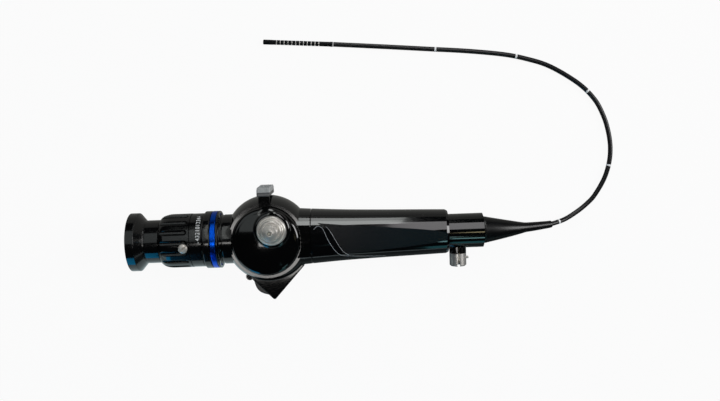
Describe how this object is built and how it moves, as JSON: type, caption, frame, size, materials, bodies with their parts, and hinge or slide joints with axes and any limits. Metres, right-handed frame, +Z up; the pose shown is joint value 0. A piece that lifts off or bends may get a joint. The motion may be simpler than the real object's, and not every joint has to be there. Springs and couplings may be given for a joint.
{
  "type": "flexible endoscope",
  "caption": "Slim flexible endoscope lying on its side: eyepiece with diopter ring, ball housing with light post, lever and finger rest, tapered grip and a looped insertion tube.",
  "frame": {"origin": "on the surface the instrument lies on, under the pivot of the angulation lever, at the middle of the rear cover", "axes": "+X along the body from the eyepiece to the insertion tube; +Y to the lever's side; +Z up, the way the light post points"},
  "size_m": [0.2901, 0.1536, 0.0511],
  "materials": {
    "black_metal": "gloss",
    "black_plastic": "gloss",
    "black_rubber": "satin",
    "tube_black": "satin",
    "blue_ring": "gloss",
    "nickel": "satin",
    "steel": "satin",
    "brass": "satin",
    "glass": "polished",
    "fibre": "matte"
  },
  "bodies": {
    "root": {"eyecup": "black_metal", "eyepiece_window": "glass", "eyepiece_barrel": "steel", "scale_ring": "black_metal", "eyepiece_flange": "black_metal", "blue_ring": "blue_ring", "retaining_ring": "black_metal", "eyepiece_mount": "black_metal", "ball_housing": "black_metal", "rear_cover": "black_metal", "cover_screw_1": "steel", "cover_screw_2": "steel", "cover_screw_3": "steel", "front_cover": "black_metal", "light_post_boss": "black_metal", "light_post": "nickel", "chassis": "steel", "finger_rest": "black_plastic", "rest_screw": "black_metal", "finger_rest_pad": "black_rubber", "grip_shell": "black_plastic", "grip_seal": "black_rubber", "distal_collar": "black_metal", "tube_anchor": "brass", "vent_stub": "black_metal", "vent_sleeve": "nickel", "bayonet_pin": "nickel", "image_bundle": "fibre", "light_bundle": "fibre", "coil_pipe_left": "steel", "coil_pipe_right": "steel", "stay_plate": "brass", "strain_relief_boot": "black_rubber", "insertion_tube": "tube_black", "bending_sleeve": "steel"},
    "diopter": {"diopter_ring": "black_metal", "diopter_screw": "nickel"},
    "lens": {"lens_cell": "brass", "ocular_lens": "glass"},
    "lever": {"lever_arm": "black_metal", "thumb_pad": "black_rubber", "pivot_axle": "steel", "wire_drum": "brass", "hub_nut": "steel"},
    "wire_left": {"pull_wire_left": "steel"},
    "wire_right": {"pull_wire_right": "steel"},
    "vent": {"vent_plunger": "steel"},
    "link_01": {"bending_link_01": "steel"},
    "link_02": {"bending_link_02": "steel"},
    "link_03": {"bending_link_03": "steel"},
    "link_04": {"bending_link_04": "steel"},
    "link_05": {"bending_link_05": "steel"},
    "link_06": {"bending_link_06": "steel"},
    "link_07": {"bending_link_07": "steel"},
    "link_08": {"bending_link_08": "steel"},
    "link_09": {"bending_link_09": "steel"},
    "link_10": {"bending_link_10": "steel"},
    "link_11": {"bending_link_11": "steel"},
    "tip": {"distal_tip": "black_metal", "objective_lens": "glass"}
  },
  "joints": [
    {"name": "lever_swing", "type": "hinge", "parent": "root", "child": "lever", "pos_m": [0, 0, 0.0172], "axis": [0, 0, 1], "range_deg": [-38, 38]},
    {"name": "wire_left_pull", "type": "slide", "parent": "root", "child": "wire_left", "axis": [1, 0, 0], "range_m": [-0.0037, 0.0037]},
    {"name": "wire_right_pull", "type": "slide", "parent": "root", "child": "wire_right", "axis": [1, 0, 0], "range_m": [-0.0037, 0.0037]},
    {"name": "diopter_turn", "type": "hinge", "parent": "root", "child": "diopter", "pos_m": [-0.053, 0, 0.0172], "axis": [1, 0, 0], "range_deg": [-60, 60]},
    {"name": "lens_travel", "type": "slide", "parent": "root", "child": "lens", "axis": [1, 0, 0], "range_m": [-0.002, 0.002]},
    {"name": "vent_press", "type": "slide", "parent": "root", "child": "vent", "axis": [0, 1, 0], "range_m": [0, 0.0015], "stiffness_N_per_m": 200},
    {"name": "bend_01", "type": "hinge", "parent": "root", "child": "link_01", "pos_m": [0.03372, 0.1133, 0.00157], "axis": [0, 0, 1], "range_deg": [-11, 11]},
    {"name": "bend_02", "type": "hinge", "parent": "link_01", "child": "link_02", "pos_m": [0.03143, 0.11346, 0.00157], "axis": [0, 0, 1], "range_deg": [-11, 11]},
    {"name": "bend_03", "type": "hinge", "parent": "link_02", "child": "link_03", "pos_m": [0.02913, 0.11362, 0.00157], "axis": [0, 0, 1], "range_deg": [-11, 11]},
    {"name": "bend_04", "type": "hinge", "parent": "link_03", "child": "link_04", "pos_m": [0.02684, 0.11378, 0.00157], "axis": [0, 0, 1], "range_deg": [-11, 11]},
    {"name": "bend_05", "type": "hinge", "parent": "link_04", "child": "link_05", "pos_m": [0.02454, 0.11394, 0.00157], "axis": [0, 0, 1], "range_deg": [-11, 11]},
    {"name": "bend_06", "type": "hinge", "parent": "link_05", "child": "link_06", "pos_m": [0.02225, 0.1141, 0.00157], "axis": [0, 0, 1], "range_deg": [-11, 11]},
    {"name": "bend_07", "type": "hinge", "parent": "link_06", "child": "link_07", "pos_m": [0.01996, 0.11426, 0.00157], "axis": [0, 0, 1], "range_deg": [-11, 11]},
    {"name": "bend_08", "type": "hinge", "parent": "link_07", "child": "link_08", "pos_m": [0.01766, 0.11442, 0.00157], "axis": [0, 0, 1], "range_deg": [-11, 11]},
    {"name": "bend_09", "type": "hinge", "parent": "link_08", "child": "link_09", "pos_m": [0.01537, 0.11458, 0.00157], "axis": [0, 0, 1], "range_deg": [-11, 11]},
    {"name": "bend_10", "type": "hinge", "parent": "link_09", "child": "link_10", "pos_m": [0.01307, 0.11474, 0.00157], "axis": [0, 0, 1], "range_deg": [-11, 11]},
    {"name": "bend_11", "type": "hinge", "parent": "link_10", "child": "link_11", "pos_m": [0.01078, 0.1149, 0.00157], "axis": [0, 0, 1], "range_deg": [-11, 11]},
    {"name": "bend_12", "type": "hinge", "parent": "link_11", "child": "tip", "pos_m": [0.00848, 0.11507, 0.00157], "axis": [0, 0, 1], "range_deg": [-11, 11]}
  ],
  "couplings": [
    {"joint": "wire_left_pull", "follows": "lever_swing", "m_per_rad": -0.00545},
    {"joint": "wire_right_pull", "follows": "lever_swing", "m_per_rad": 0.00545},
    {"joint": "lens_travel", "follows": "diopter_turn", "m_per_rad": 0.0019},
    {"joint": "bend_01", "follows": "lever_swing", "ratio": 0.2851},
    {"joint": "bend_02", "follows": "lever_swing", "ratio": 0.2851},
    {"joint": "bend_03", "follows": "lever_swing", "ratio": 0.2851},
    {"joint": "bend_04", "follows": "lever_swing", "ratio": 0.2851},
    {"joint": "bend_05", "follows": "lever_swing", "ratio": 0.2851},
    {"joint": "bend_06", "follows": "lever_swing", "ratio": 0.2851},
    {"joint": "bend_07", "follows": "lever_swing", "ratio": 0.2851},
    {"joint": "bend_08", "follows": "lever_swing", "ratio": 0.2851},
    {"joint": "bend_09", "follows": "lever_swing", "ratio": 0.2851},
    {"joint": "bend_10", "follows": "lever_swing", "ratio": 0.2851},
    {"joint": "bend_11", "follows": "lever_swing", "ratio": 0.2851},
    {"joint": "bend_12", "follows": "lever_swing", "ratio": 0.2851}
  ]
}
